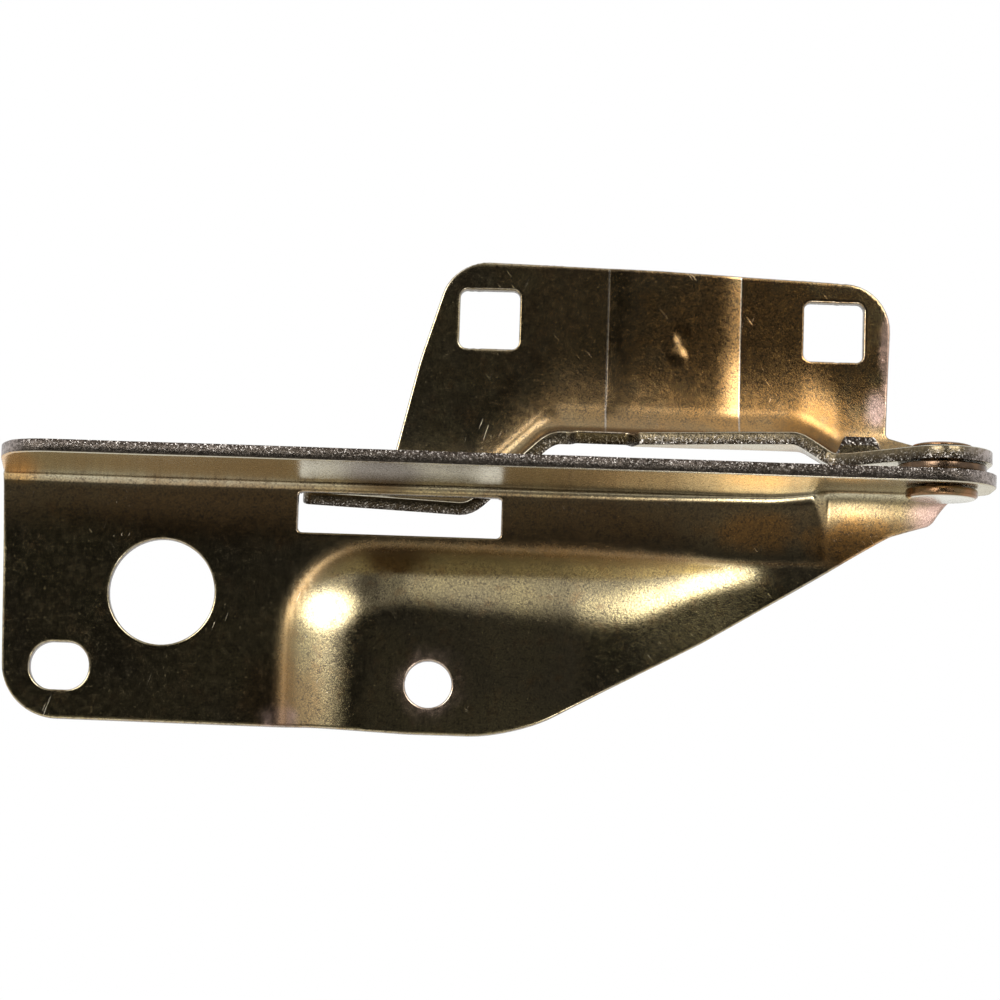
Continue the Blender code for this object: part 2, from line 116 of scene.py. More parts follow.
def formBlank(name, bm, sheet, uLines, vLines, form, mark=None, lift=None, paintedShade=None):
    # bm holds the blank's outline and holes as wires at height 0; form takes the flat blank to space
    rolled, burred = 0.32, 0.10    # rim radii of the upper and the lower side
    bmesh.ops.remove_doubles(bm, verts=bm.verts, dist=0.01)
    bmesh.ops.triangle_fill(bm, use_beauty=True, edges=bm.edges[:], normal=(0, 0, 1))
    bmesh.ops.dissolve_limit(bm, angle_limit=math.radians(0.5), use_dissolve_boundaries=False,
                             verts=bm.verts[:], edges=bm.edges[:])
    made = bmesh.ops.extrude_face_region(bm, geom=bm.faces[:])
    lower = [item for item in made["geom"] if isinstance(item, bmesh.types.BMVert)]
    bmesh.ops.translate(bm, verts=bm.verts[:], vec=(0, 0, -rolled))
    bmesh.ops.translate(bm, verts=lower, vec=(0, 0, rolled + burred - sheet))
    bmesh.ops.recalc_face_normals(bm, faces=bm.faces[:])
    rollEdge(bm, 1, rolled, 4)
    rollEdge(bm, -1, burred, 2)
    cutAcross(bm, uLines, "u")
    cutAcross(bm, vLines, "v")
    bm.normal_update()

    # torn is 0 where a cut edge is sheared bright and 1 where it broke, wear is 1 along the rims,
    # run is the height up the flat blank in millimetres, and the fourth layer is the strength of a brown shade
    # painted along the slope's foot
    tears, wears, runs, paintedShades = (bm.verts.layers.float.new(layer) for layer in ("torn", "wear", "run", "paintedShade"))
    upright, inclined = 0.55, 0.98
    for face in bm.faces:
        face.smooth = True
        face.material_index = 1 if abs(face.normal.z) < upright else 0
        if abs(face.normal.z) < inclined:
            for vert in face.verts:
                vert[wears] = 1.0
    for vert in bm.verts:
        vert[tears] = smooth((-vert.co.z / sheet - 0.22) / 0.12)
        vert[runs] = vert.co.y
        vert[paintedShades] = paintedShade(vert.co.x, vert.co.y) if paintedShade else 0.0
    if mark:
        mark(bm, tears)

    step = 0.01
    for vert in bm.verts:
        u, v, height = vert.co
        spot = form(u, v)
        along = form(u + step, v) - spot
        across = form(u, v + step) - spot
        spot += along.cross(across).normalized() * height
        if lift:
            spot.z += lift(u, v)
        vert.co = spot * mm
    mesh = bpy.data.meshes.new(name)
    bm.to_mesh(mesh)
    bm.free()
    piece = bpy.data.objects.new(name, mesh)
    bpy.context.scene.collection.objects.link(piece)
    mesh.set_sharp_from_angle(angle=math.radians(38))
    print(name, len(mesh.polygons), "faces")
    return piece


def dent(x, z, centre, radius, height, stretch):
    # a shallow round mark that stands forward by height, or back where height is negative
    away = math.hypot(x - centre[0], (z - centre[1]) / stretch) / radius
    return height * (1 - min(1.0, away) ** 2) ** 2


def unevenness(u, v, seed):
    # the slight waves that pressing leaves in a flat sheet
    return 0.09 * noise.noise(Vector((u / 26, v / 19, seed))) + 0.03 * noise.noise(Vector((u / 9, v / 9, seed)))


# Body bracket

bodyCut = {
    "sheet": 2.5,
    "flangeUnderside": 38.8,
    "plateFront": 4.0,
    "bend": 1.9,
    "open": 1.3,
    "tipBend": (4.6, 14.8),
    "tipCrease": 57.5,
    "tipBlend": 3.0,
    "padLeft": -42.3,
    "padTop": 26.9,
    "padCorner": 18.4,
    "slopeLeft": 16.6,
    "slopeTop": (14.4, 17.4),
    "slopeBends": (0.10, 0.84),
    "slopeNarrows": (14, 34, 0.70),
    "padFall": (10, 40, 1.6),
    "lean": (0.80, 0.35),
    "leanFrom": (23, 13),
    "leanGrows": (22, 26),
    "openFrom": (-15.5, 17.5),
    "seatEnd": (64, 16),
    "fadeStart": 11.0,
    "fadeEnd": 55.0,
    "pivot": (80.4, -8.9),
    "boltHole": (-14.0, -0.2, 8.8),
    "accessHole": (-65.1, 15.9, 20.0),
    "ovalHole": (-83.8, 1.3, 11.2, 9.0),
    "window": (-39.9, -1.3, 28.1, 35.8),
}
bodyFold = bodyCut["flangeUnderside"] + bodyCut["plateFront"] - (2 - math.pi / 2) * bodyCut["bend"]


def bodyBend(x):
    # depth and height of the bend, which opens into a tall curve beyond the crease
    opening = smooth((x - bodyCut["tipCrease"]) / bodyCut["tipBlend"])
    depth, height = bodyCut["tipBend"]
    small = bodyCut["bend"]
    return small + (depth - small) * opening, small + (height - small) * opening


def pressedStep(share, foot, crown):
    # rise of a pressed slope, whose foot and crown bends take these shares of its width
    area = foot / 2 + (1 - foot - crown) + crown / 2
    share = max(0.0, min(1.0, share))
    if share < foot:
        return share * share / (2 * foot) / area
    if share < 1 - crown:
        return (share - foot / 2) / area
    left = 1 - share
    return 1 - left * left / (2 * crown) / area


def padShare(x, z):
    # 0 at the slope's foot and 1 at its crown; the pad's upper side falls to the right, and is wider there
    corner = bodyCut["padCorner"]
    cornerX = bodyCut["padLeft"] + corner
    start, length, fall = bodyCut["padFall"]
    cornerZ = bodyCut["padTop"] - corner - fall * smooth((x - start) / length)
    inside = corner - math.hypot(max(cornerX - x, 0), max(z - cornerZ, 0))
    turn = bodyCut["padLeft"] + bodyCut["slopeLeft"]
    turned = max(0, min(1, (x - turn) / (cornerX + 5 - turn)))
    narrow, wide = bodyCut["slopeTop"]
    width = bodyCut["slopeLeft"] + (narrow - bodyCut["slopeLeft"]) * turned
    width += (wide - narrow) * smooth((x - cornerX + 4) / 40)
    start, length, narrowing = bodyCut["slopeNarrows"]
    width *= 1 - narrowing * smooth((x - start) / length)
    return inside / width


def padRise(x, z):
    fade = smooth((x - bodyCut["fadeStart"]) / (bodyCut["fadeEnd"] - bodyCut["fadeStart"]))
    return bodyCut["plateFront"] * (1 - fade) * pressedStep(padShare(x, z), *bodyCut["slopeBends"])


def paintedFootShade(x, z):
    # a brown shade painted along the foot of the slope, which dims its reflection there
    share = padShare(x, z)
    return smooth((share + 0.12) / 0.12) * smooth((0.26 - share) / 0.16)


def plateLean(x, z):
    # the plate begins to lean forward well below its bend, more so towards the pivot
    start, length = bodyCut["leanFrom"]
    reach = max(0.0, z - start) / length
    lean, extra = bodyCut["lean"]
    start, length = bodyCut["leanGrows"]
    return (lean + extra * smooth((x - start) / length)) * reach * reach


def flangeSag(x, y):
    # the flange stands a few degrees open, but for the flat seat at the pivot
    start, length = bodyCut["openFrom"]
    share = max(0.0, min(1.0, (y - start) / length))
    end, length = bodyCut["seatEnd"]
    return bodyCut["open"] * share * smooth((end - x) / length)


def bodyForm(u, v):
    # blank to space: the plate's height is v, and the flange runs out to bodyFold - v
    depth, height = bodyBend(u)
    start = bodyCut["flangeUnderside"] - height - flangeSag(u, bodyCut["plateFront"])
    end = bodyFold - bodyCut["plateFront"] + depth
    wave = unevenness(u, v, 1.7)
    if v <= start:
        return Vector((u, bodyCut["plateFront"] - padRise(u, v) - plateLean(u, v) - wave, v))
    if v >= end:
        return Vector((u, bodyFold - v, bodyCut["flangeUnderside"] - wave - flangeSag(u, bodyFold - v)))
    angle = math.pi / 2 * (v - start) / (end - start)
    back = bodyCut["plateFront"] - (padRise(u, v) + plateLean(u, start)) * math.cos(angle)
    return Vector((u, back - depth + (depth - wave) * math.cos(angle), start + (height - wave) * math.sin(angle)))


def makeBodyBracket():
    bm = bmesh.new()
    near = bodyFold + 19.0
    pivotX, pivotY = bodyCut["pivot"]
    chain(bm, [
        (-94.3, -8.6, 10.5),
        (-35.7, -8.95, 20),
        (-18.0, -9.65, 30),
        (2.0, -9.65, 33),
        (37.0, 9.15, 60),
        (61.3, 24.0, 8),
        (72.5, 29.6, 6),
        (80.2, 31.8, 2.5),
        (84.0, 38.6, 1.0),
        (pivotX + 10.1, 41.8, 5.0),
        (pivotX + 10.1, near, 10.1),
        (-93.6, near, 10),
        (-96.0, bodyFold - bodyCut["plateFront"], 4),
    ], 0, closed=True, segments=14)
    left, right, low, high = bodyCut["window"]
    chain(bm, [(x, z, 0.9) for x, z in ((left, low), (right, low), (right, high), (left, high))], 0,
          closed=True, segments=5)
    x, z, length, width = bodyCut["ovalHole"]
    bevelled = 0.48 * width
    chain(bm, [(x + sideX * length / 2, z + sideZ * width / 2, bevelled)
               for sideX, sideZ in ((-1, -1), (1, -1), (1, 1), (-1, 1))], 0, closed=True, segments=14)
    holes = (bodyCut["accessHole"], bodyCut["boltHole"], (pivotX, bodyFold - pivotY, 8.5))
    for x, z, diameter in holes:
        bmesh.ops.create_circle(bm, segments=80, radius=diameter / 2, matrix=Matrix.Translation((x, z, 0)))
    refine(bm, 6)
    uLines = evenly(-94, -46, 4) + evenly(-44, 56, 1.1) + evenly(56.5, 61.5, 0.5) + evenly(63, 89, 2)
    vLines = evenly(-9, 35, 1.1) + evenly(36.1, 42.5, 0.32) + evenly(44, 60, 4)
    return formBlank("body_pressing", bm, bodyCut["sheet"], uLines, vLines, bodyForm, paintedShade=paintedFootShade)


# Bonnet bracket

leafCut = {
    "sheet": 2.5,
    "front": 13.3,
    "bendRadius": 6.4,
    "top": 83.35,
    "levels": [
        (-7.9, 1.5, -0.04, 0.947),
        (7.3, 2.4, 0.947, 0.0),
        (54.3, 1.6, 0.0, -0.567),
        (61.0, 0.95, -0.567, 0.0),
    ],
    "tailLevel": (-43.4, 36.6),
    "skew": 0.27,
    "skewBlend": 8.0,
    "web": -0.8,
    "joggle": (54.3, 70.4),
    "lug": (60.8, 70.4, 1.0, 7.4, 3.7),
    "lugRamp": 2.2,
    "lugFace": 0.03,
    "swage": (18.2, 44.0, 0.26, 5.0),
    "squareHole": 11.6,
    "squareHoles": ((-4.8, 72.0), (62.1, 71.6)),
    "pivot": bodyCut["pivot"],
    "tilt": 0.45,
    "lean": 0.6,
    "leanLength": 13,
    "dents": (((31.9, 65.9), 2.3, 0.13, 1), ((32.6, 69.9), 2.0, -0.12, 1.4)),
}
leafCentre = leafCut["front"] - leafCut["bendRadius"]
leafFoot = leafCentre + leafCut["bendRadius"] * math.pi / 2


def leafLevel(u):
    # the flange's level; each bend is (place, blend, slope before, slope after)
    startX, level = leafCut["tailLevel"]
    level += leafCut["levels"][0][2] * (u - startX)
    for place, blend, before, after in leafCut["levels"]:
        level += (after - before) * softRamp(u - place, blend)
    return level


def skewShare(u):
    start, end = leafCut["joggle"]
    blend = leafCut["skewBlend"]
    return smooth(min((u - start) / blend + 1, (end - u) / blend + 1))


def skewed(u, run):
    run = max(leafCut["web"], min(leafCentre, run))
    return u + leafCut["skew"] * (run - leafCut["web"]) * skewShare(u)


def unskewed(x, run):
    # the place on the straight flange that skewed takes to x
    u = x
    for attempt in range(30):
        u += x - skewed(u, run)
    return u


def swageDepth(x):
    # how far the middle stands forward: a sharp line at each side, then a long curve
    left, right, depth, ramp = leafCut["swage"]
    inside = max(0.0, min(1.0, min(x - left, right - x) / ramp))
    return depth * (1 - (1 - inside) ** 2)


def lugRise(u, v):
    left, right, near, far, height = leafCut["lug"]
    if v < near:
        return 0.0
    flank = smooth(min(u - left, right - u, far - v) / leafCut["lugRamp"])
    return height * flank * min(1.0, (v - near) / leafCut["lugFace"])


def leafLean(v):
    # the plate begins to lean forward above its bend
    above = v - leafFoot
    length = leafCut["leanLength"]
    if above >= 0:
        return leafCut["lean"] * max(0.0, 1 - above / length) ** 2
    return leafCut["lean"] * (1 - above * 2 / length) * smooth(1 + above / (leafFoot - leafCentre))


def leafForm(u, v):
    level = leafLevel(u)
    x = skewed(u, v)
    wave = unevenness(u, v, 5.2)
    if v <= leafCentre:
        lift = leafCut["tilt"] * (leafCentre - v) / leafCentre * smooth((64 - u) / 8)
        return Vector((x, v, level + lift + wave))
    radius = leafCut["bendRadius"]
    swage = swageDepth(x)
    if v <= leafFoot:
        angle = (v - leafCentre) / radius
        out = radius - wave
        return Vector((x, leafCentre + out * math.sin(angle) - swage * math.sin(angle) ** 2 - leafLean(v),
                       level + radius - out * math.cos(angle)))
    z = level + radius + v - leafFoot
    forward = swage + sum(dent(x, z, *place) for place in leafCut["dents"])
    return Vector((x, leafCut["front"] - forward - leafLean(v) - wave, z))


def leafFromPlan(x, y):
    radius = leafCut["bendRadius"]
    v = y if y <= leafCentre else leafCentre + radius * math.asin(min(1, (y - leafCentre) / radius))
    return unskewed(x, y), v


def leafFromFront(x, z):
    u = unskewed(x, leafCentre)
    rise = z - leafLevel(u)
    radius = leafCut["bendRadius"]
    if rise >= radius:
        return u, leafFoot + rise - radius
    return u, leafCentre + radius * math.acos(1 - rise / radius)


def makeBonnetBracket():
    bm = bmesh.new()
    planHeight, frontHeight = -1, 1
    top = leafCut["top"]
    chain(bm, [
        (-39.4, 10.97, 0),
        (-39.4, 7.5, 2.4),
        (11.0, 7.5, 1),
        (12.5, 9.1, 1),
        (22.5, 9.1, 1),
        (24.5, 5.2, 1),
        (61.0, -0.8, 3),
        (77.6, -18.2, 6),
        (89.7, -18.2, 9.3),
        (89.7, 10.2, 0),
    ], planHeight)
    chain(bm, [
        (89.7, 46.75, 0),
        (72.5, 51.2, 1),
        (73.3, top - 2.4, 9.2),
        (28.0, top - 0.75, 50),
        (-12.1, top, 9),
        (-18.1, top - 19.95, 50),
        (-22.6, top - 39.9, 6),
        (-23.6, 37.8, 2),
        (-39.4, 37.9, 0),
    ], frontHeight)
    half = leafCut["squareHole"] / 2
    for x, z in leafCut["squareHoles"]:
        square = [(x + sideX * half, z + sideZ * half, 1.4)
                  for sideX, sideZ in ((-1, -1), (1, -1), (1, 1), (-1, 1))]
        chain(bm, square, frontHeight, closed=True, segments=6)
    pivotX, pivotY = leafCut["pivot"]
    bmesh.ops.create_circle(bm, segments=80, radius=5.6, matrix=Matrix.Translation((pivotX, pivotY, planHeight)))
    refine(bm, 1.5)
    for vert in bm.verts:
        unfold = leafFromPlan if vert.co.z < 0 else leafFromFront
        vert.co = (*unfold(vert.co.x, vert.co.y), 0)
    ends = [vert for vert in bm.verts if len(vert.link_edges) == 1]
    ends.sort(key=lambda vert: vert.co.x)
    for first, second in (ends[:2], ends[2:]):
        if (first.co - second.co).length > 0.01:
            bm.edges.new((first, second))
    left, right, near, far, height = leafCut["lug"]
    ramp, wall = leafCut["lugRamp"], leafCut["lugFace"]
    torn = near + 0.016    # where the lug's cut face changes from sheared to broken
    uLines = evenly(-38, -12, 4) + evenly(-10, 11, 0.7) + evenly(14, 51, 3) + evenly(52, 60.6, 0.6)
    uLines += evenly(left, left + ramp, 0.25) + evenly(64, 68, 2)
    uLines += evenly(right - ramp, right, 0.25) + evenly(72, 89, 3)
    for edge in leafCut["swage"][:2]:
        uLines += [edge - 0.3, edge - 0.05, edge + 0.05, edge + 0.3]
    uLines += evenly(19.2, 24, 0.8) + evenly(38, 43, 0.8) + evenly(29.6, 34.6, 0.25)
    vLines = evenly(-17, -1, 4) + [near, near + 0.014, near + 0.018, near + wall] + evenly(3, 6, 1.5)
    vLines += evenly(far - ramp, far, 0.2) + evenly(leafCentre, leafFoot, 0.55)
    vLines += evenly(leafFoot + 1, leafFoot + 13, 1) + evenly(36, 54, 4)
    vLines += evenly(leafFoot + 7.4, leafFoot + 17.2, 0.25)

    def markLug(blank, tears):
        # the lug's cut face: bright at its middle below, broken above and at both ends
        for face in blank.faces:
            centre = face.calc_center_median()
            if near < centre.y < near + wall and lugRise(centre.x, near + 1) > 0.1 and face.normal.z > 0.5:
                face.material_index = 1
                for vert in face.verts:
                    end = min(vert.co.x - left, right - vert.co.x)
                    vert[tears] = 1.0 if vert.co.y > torn or end < 1.2 else 0.0

    return formBlank("bonnet_pressing", bm, leafCut["sheet"], uLines, vLines, leafForm, markLug, lugRise)


bodyBracket = makeBodyBracket()
bonnetBracket = makeBonnetBracket()
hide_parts("body_bracket")
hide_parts("bonnet_bracket")
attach(bodyBracket, "body_side")
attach(bonnetBracket, "bonnet_side")


# Turned pieces

pivotCut = {
    "centre": bodyCut["pivot"],
    "headTop": 38.5,
    "headHeight": 1.8,
    "headRadius": 6.7,
    "shankRadius": 4.0,
    "tailBottom": 46.4,
    "tailHeight": 0.75,
    "tailRadius": 5.7,
    "washer": (4.25, 8.3, 41.6, 43.0),
    "bush": (4.25, 5.35, 43.3, 46.1),
}


def turnPiece(name, profile, closed, body, node):
    # profile (radius, height, rounding) in the pivot's plane, spun once round
    bm = bmesh.new()
    chain(bm, profile, 0, closed=closed, segments=5)
    for vert in bm.verts:
        vert.co = (vert.co.x, 0, vert.co.y)
    bmesh.ops.spin(bm, geom=bm.verts[:] + bm.edges[:], cent=(0, 0, 0), axis=(0, 0, 1), angle=2 * math.pi,
                   steps=96, use_merge=True)
    bmesh.ops.remove_doubles(bm, verts=bm.verts[:], dist=0.002)
    bmesh.ops.recalc_face_normals(bm, faces=bm.faces[:])
    for face in bm.faces:
        face.smooth = True
    x, y = pivotCut["centre"]
    bmesh.ops.translate(bm, verts=bm.verts[:], vec=(x, y, 0))
    bmesh.ops.scale(bm, verts=bm.verts[:], vec=(mm, mm, mm))
    mesh = bpy.data.meshes.new(name)
    bm.to_mesh(mesh)
    bm.free()
    mesh.set_sharp_from_angle(angle=math.radians(40))
    piece = bpy.data.objects.new(name, mesh)
    bpy.context.scene.collection.objects.link(piece)
    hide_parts(node)
    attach(piece, body)
    return piece


def makeRivet():
    # the formed tail on top has a shallow dimple; the head is at the bottom
    cut = pivotCut
    headBottom = cut["headTop"] - cut["headHeight"]
    tailTop = cut["tailBottom"] + cut["tailHeight"]
    head, tail, shank = cut["headRadius"], cut["tailRadius"], cut["shankRadius"]
    return turnPiece("headed_rivet", [
        (0, tailTop - 0.35, 0),
        (1.6, tailTop - 0.35, 0.3),
        (2.3, tailTop, 0.4),
        (tail - 1.1, tailTop - 0.12, 0.6),
        (tail, cut["tailBottom"] + 0.3, 0.3),
        (tail - 0.1, cut["tailBottom"], 0.05),
        (shank, cut["tailBottom"], 0.05),
        (shank, cut["headTop"], 0.05),
        (head - 0.15, cut["headTop"], 0.1),
        (head, cut["headTop"] - 0.35, 0.3),
        (head, headBottom + 0.55, 0.3),
        (head - 0.65, headBottom, 0.5),
        (0, headBottom, 0),
    ], False, "body_side", "pivot_rivet")


def makeRing(name, size, rounding, node):
    inner, outer, low, high = size
    return turnPiece(name, [
        (outer, high, rounding),
        (outer, low, rounding),
        (inner, low, rounding),
        (inner, high, rounding),
    ], True, "body_side", node)


rivet = makeRivet()
washer = makeRing("flat_washer", pivotCut["washer"], 0.22, "spacer_washer")
bush = makeRing("plain_bush", pivotCut["bush"], 0.15, "pivot_bush")
print("turned pieces made")


# Materials

def addNode(tree, kind, inputs=None, **settings):
    node = tree.nodes.new(kind)
    for name, value in settings.items():
        setattr(node, name, value)
    for name, value in (inputs or {}).items():
        if isinstance(value, bpy.types.NodeSocket):
            tree.links.new(value, node.inputs[name])
        else:
            node.inputs[name].default_value = value
    return node


class Finish:
    # a material under way: its tree, its shader and the pattern nodes that finishes share
    def __init__(self, name):
        self.material = bpy.data.materials.new(name)
        self.material.use_nodes = True
        self.tree = self.material.node_tree
        self.shader = self.tree.nodes["Principled BSDF"]
        self.shader.inputs["Metallic"].default_value = 1.0
        self.coord = addNode(self.tree, "ShaderNodeTexCoord").outputs["Object"]

    def noise(self, size, detail=3.0, rough=0.55, stretch=None, angles=(0, 0, 0), distortion=0.0):
        # value noise whose spots are about size millimetres, longer along some axes if stretched
        vector = self.coord
        if stretch:
            vector = addNode(self.tree, "ShaderNodeMapping", {
                "Vector": vector, "Rotation": angles, "Scale": stretch}, vector_type="TEXTURE").outputs[0]
        return addNode(self.tree, "ShaderNodeTexNoise", {
            "Vector": vector, "Scale": 1 / (size * mm), "Detail": detail, "Roughness": rough,
            "Distortion": distortion}).outputs["Fac"]

    def span(self, value, low, high, bottom=0.0, top=1.0):
        return addNode(self.tree, "ShaderNodeMapRange", {
            "Value": value, "From Min": low, "From Max": high, "To Min": bottom, "To Max": top},
            interpolation_type="SMOOTHSTEP").outputs[0]

    def math(self, kind, first, second=0.0):
        return addNode(self.tree, "ShaderNodeMath", {0: first, 1: second}, operation=kind).outputs[0]

    def mix(self, share, first, second):
        paint = [value if isinstance(value, bpy.types.NodeSocket) else (*value, 1) for value in (first, second)]
        return addNode(self.tree, "ShaderNodeMix", {0: share, 6: paint[0], 7: paint[1]},
                       data_type="RGBA").outputs[2]

    def attribute(self, name):
        return addNode(self.tree, "ShaderNodeAttribute", attribute_name=name).outputs["Fac"]

    def patch(self, centre, radius, ragged, stretch):
        # a soft round patch at a place in millimetres, with a ragged border
        place = addNode(self.tree, "ShaderNodeVectorMath", {0: self.coord, 1: [part * mm for part in centre]},
                        operation="SUBTRACT").outputs[0]
        place = addNode(self.tree, "ShaderNodeVectorMath", {
            0: place, 1: [1 / (part * radius * mm) for part in stretch]}, operation="MULTIPLY").outputs[0]
        away = addNode(self.tree, "ShaderNodeVectorMath", {0: place}, operation="LENGTH").outputs["Value"]
        border = self.math("SUBTRACT", self.noise(3.5, 4), 0.5)
        away = self.math("ADD", away, self.math("MULTIPLY", border, ragged))
        return self.span(away, 1.0, 0.35)

    def finish(self, colour, roughness, height, depth):
        bump = addNode(self.tree, "ShaderNodeBump", {"Height": height, "Distance": depth * mm, "Strength": 1.0})
        self.tree.links.new(bump.outputs[0], self.shader.inputs["Normal"])
        self.tree.links.new(colour, self.shader.inputs["Base Color"])
        self.tree.links.new(roughness, self.shader.inputs["Roughness"])
        return self.material


zincTints = {
    "olive": (0.36, 0.30, 0.175),
    "gold": (0.50, 0.41, 0.21),
    "brown": (0.30, 0.185, 0.08),
    "orange": (0.60, 0.30, 0.08),
    "amber": (0.80, 0.42, 0.09),
    "pink": (0.52, 0.36, 0.31),
    "pale": (0.56, 0.53, 0.40),
    "steel": (0.50, 0.47, 0.43),
    "dark": (0.09, 0.07, 0.05),
    # the dark brown that the finishes use only to paint shade and dark reflections
    "shadeUmber": (0.10, 0.055, 0.02),
}


def passivatedZinc(name, patches, bands, creaseHighlights=()):
    # bands (tint, share, low, high, softness, rougher) run along the blank at a height; patches
    # (tint, share, centre, radius, ragged, stretch) lie at a place; the last argument gives places on X where pale
    # highlight lines are painted along creases
    finish = Finish(name)
    tints = zincTints
    clouds = finish.noise(22, 3, 0.6, distortion=0.6)
    mottle = finish.noise(3.2, 4, 0.65)
    blots = finish.noise(1.1, 3, 0.7)
    grain = finish.noise(0.36, 4, 0.8)
    dust = finish.span(finish.noise(0.55, 2, 0.5), 0.60, 0.75)
    colour = finish.mix(finish.span(clouds, 0.36, 0.64), tints["olive"], tints["gold"])
    colour = finish.mix(finish.math("MULTIPLY", finish.span(mottle, 0.5, 0.72), 0.6), colour, tints["brown"])
    colour = finish.mix(finish.math("MULTIPLY", finish.span(blots, 0.50, 0.66), 0.35), colour, tints["dark"])
    run = finish.attribute("run")
    dull = 0.0
    for tint, share, low, high, softness, rougher in bands:
        inBand = finish.math("MULTIPLY", finish.span(run, low - softness, low + softness),
                             finish.span(run, high + softness, high - softness))
        colour = finish.mix(finish.math("MULTIPLY", inBand, share), colour, tints[tint])
        dull = finish.math("MAXIMUM", dull, finish.math("MULTIPLY", inBand, rougher))
    for tint, share, centre, radius, ragged, stretch in patches:
        mask = finish.math("MULTIPLY", finish.patch(centre, radius, ragged, stretch), share)
        colour = finish.mix(mask, colour, tints[tint])
        if tint in ("pink", "shadeUmber"):
            dull = finish.math("MAXIMUM", dull, finish.math("MULTIPLY", mask, 0.14))
    # painted shade: brown along the pressed slope's foot, which dims its reflection
    paintedFootShading = finish.attribute("paintedShade")
    colour = finish.mix(finish.math("MULTIPLY", paintedFootShading, 0.85), colour, tints["shadeUmber"])
    dull = finish.math("MAXIMUM", dull, finish.math("MULTIPLY", paintedFootShading, 0.16))
    specks = finish.math("MULTIPLY", finish.span(grain, 0.60, 0.40, 0.0, 0.85),
                         finish.span(blots, 0.62, 0.38, 0.4, 1.0))
    specks = finish.math("MULTIPLY", specks, finish.span(dull, 0.0, 0.15, 1.0, 0.35))
    colour = finish.mix(specks, colour, tints["dark"])
    worn = finish.math("MULTIPLY", finish.attribute("wear"), finish.span(blots, 0.42, 0.58, 0.3, 1.0))
    scratchesAndHighlights, crossing = (
        finish.span(finish.noise(0.22, 2, 0.6, stretch=(60, 1, 1), angles=(0, angle, 0), distortion=0.3), 0.68, 0.76)
        for angle in (0.9, 1.9))
    scratchesAndHighlights = finish.math("MAXIMUM", scratchesAndHighlights, crossing)
    scratchesAndHighlights = finish.math("MULTIPLY", scratchesAndHighlights, finish.span(finish.noise(14, 2), 0.54, 0.66))
    place = addNode(finish.tree, "ShaderNodeSeparateXYZ", {0: finish.coord})
    # painted highlights: thin pale lines along the creases at the given places, cut in like the scratches
    for across in creaseHighlights:
        off = finish.math("ABSOLUTE", finish.math("SUBTRACT", place.outputs["X"], across * mm))
        creaseHighlight = finish.math("MULTIPLY", finish.span(off, 0.24 * mm, 0.10 * mm),
                           finish.span(grain, 0.3, 0.5, 0.35, 1.0))
        scratchesAndHighlights = finish.math("MAXIMUM", scratchesAndHighlights, creaseHighlight)
    # rim wear and scratches, and the painted crease highlights, turn the colour towards bare steel
    rubbedAndHighlighted = finish.math("MAXIMUM", finish.math("MULTIPLY", worn, 0.5), finish.math("MULTIPLY", scratchesAndHighlights, 0.5))
    colour = finish.mix(rubbedAndHighlighted, colour, tints["steel"])
    haze = finish.span(mottle, 0.35, 0.75, 0.0, 0.04)
    roughness = finish.math("ADD", haze, finish.span(grain, 0.6, 0.4, 0.06, 0.10))
    roughness = finish.math("ADD", roughness, finish.span(blots, 0.45, 0.7, 0.0, 0.05))
    roughness = finish.math("MAXIMUM", finish.math("ADD", roughness, dull), finish.math("MULTIPLY", rubbedAndHighlighted, 0.35))
    roughness = finish.math("MAXIMUM", roughness, finish.math("MULTIPLY", dust, 0.22))
    height = finish.math("ADD", grain, finish.math("MULTIPLY", blots, 0.5))
    height = finish.math("SUBTRACT", height, finish.math("MULTIPLY", scratchesAndHighlights, 0.4))
    return finish.finish(colour, roughness, height, 0.012)


def shearedSteel(name, speck, pale, burnish):
    # burnished near the rolled side, then a torn band with dark pits and bright specks; paler at both ends
    finish = Finish(name)
    torn = finish.attribute("torn")
    coarse = finish.noise(speck * 1.8, 3, 0.75)
    fine = finish.noise(speck * 0.9, 2, 0.6)
    streaks = finish.noise(0.5, 3, 0.6, stretch=(6, 1, 1))
    broken = finish.mix(finish.span(coarse, 0.46, 0.58), (0.022, 0.016, 0.012), pale)
    broken = finish.mix(finish.span(fine, 0.59, 0.66), broken, (0.66, 0.61, 0.56))
    smoothBand = finish.mix(finish.span(streaks, 0.4, 0.65), burnish, [part * 1.8 for part in burnish])
    colour = finish.mix(torn, smoothBand, broken)
    across = addNode(finish.tree, "ShaderNodeSeparateXYZ", {0: finish.coord}).outputs["X"]
    ends = finish.math("MAXIMUM", finish.span(across, -88 * mm, -93 * mm), finish.span(across, 82 * mm, 88 * mm))
    ends = finish.math("MULTIPLY", ends, finish.span(coarse, 0.4, 0.55, 0.3, 0.9))
    colour = finish.mix(ends, colour, (0.42, 0.36, 0.33))
    roughness = finish.math("ADD", finish.span(fine, 0.3, 0.7, 0.16, 0.26), finish.math("MULTIPLY", torn, 0.06))
    height = finish.math("MULTIPLY", finish.math("ADD", coarse, fine), finish.math("ADD", torn, 0.12))
    return finish.finish(colour, roughness, height, 0.10)


def turnedSteel(name, base, shade, face=None):
    # face is the colour of the rivet head's flat underside
    finish = Finish(name)
    clouds = finish.noise(2.4, 4, 0.65)
    grain = finish.noise(0.3, 2, 0.6)
    colour = finish.mix(finish.span(clouds, 0.35, 0.65), base, shade)
    if face:
        height = addNode(finish.tree, "ShaderNodeSeparateXYZ", {0: finish.coord}).outputs["Z"]
        colour = finish.mix(finish.span(height, 36.95 * mm, 36.75 * mm), colour, face)
    roughness = finish.span(grain, 0.3, 0.7, 0.14, 0.28)
    return finish.finish(colour, roughness, finish.math("ADD", grain, clouds), 0.02)


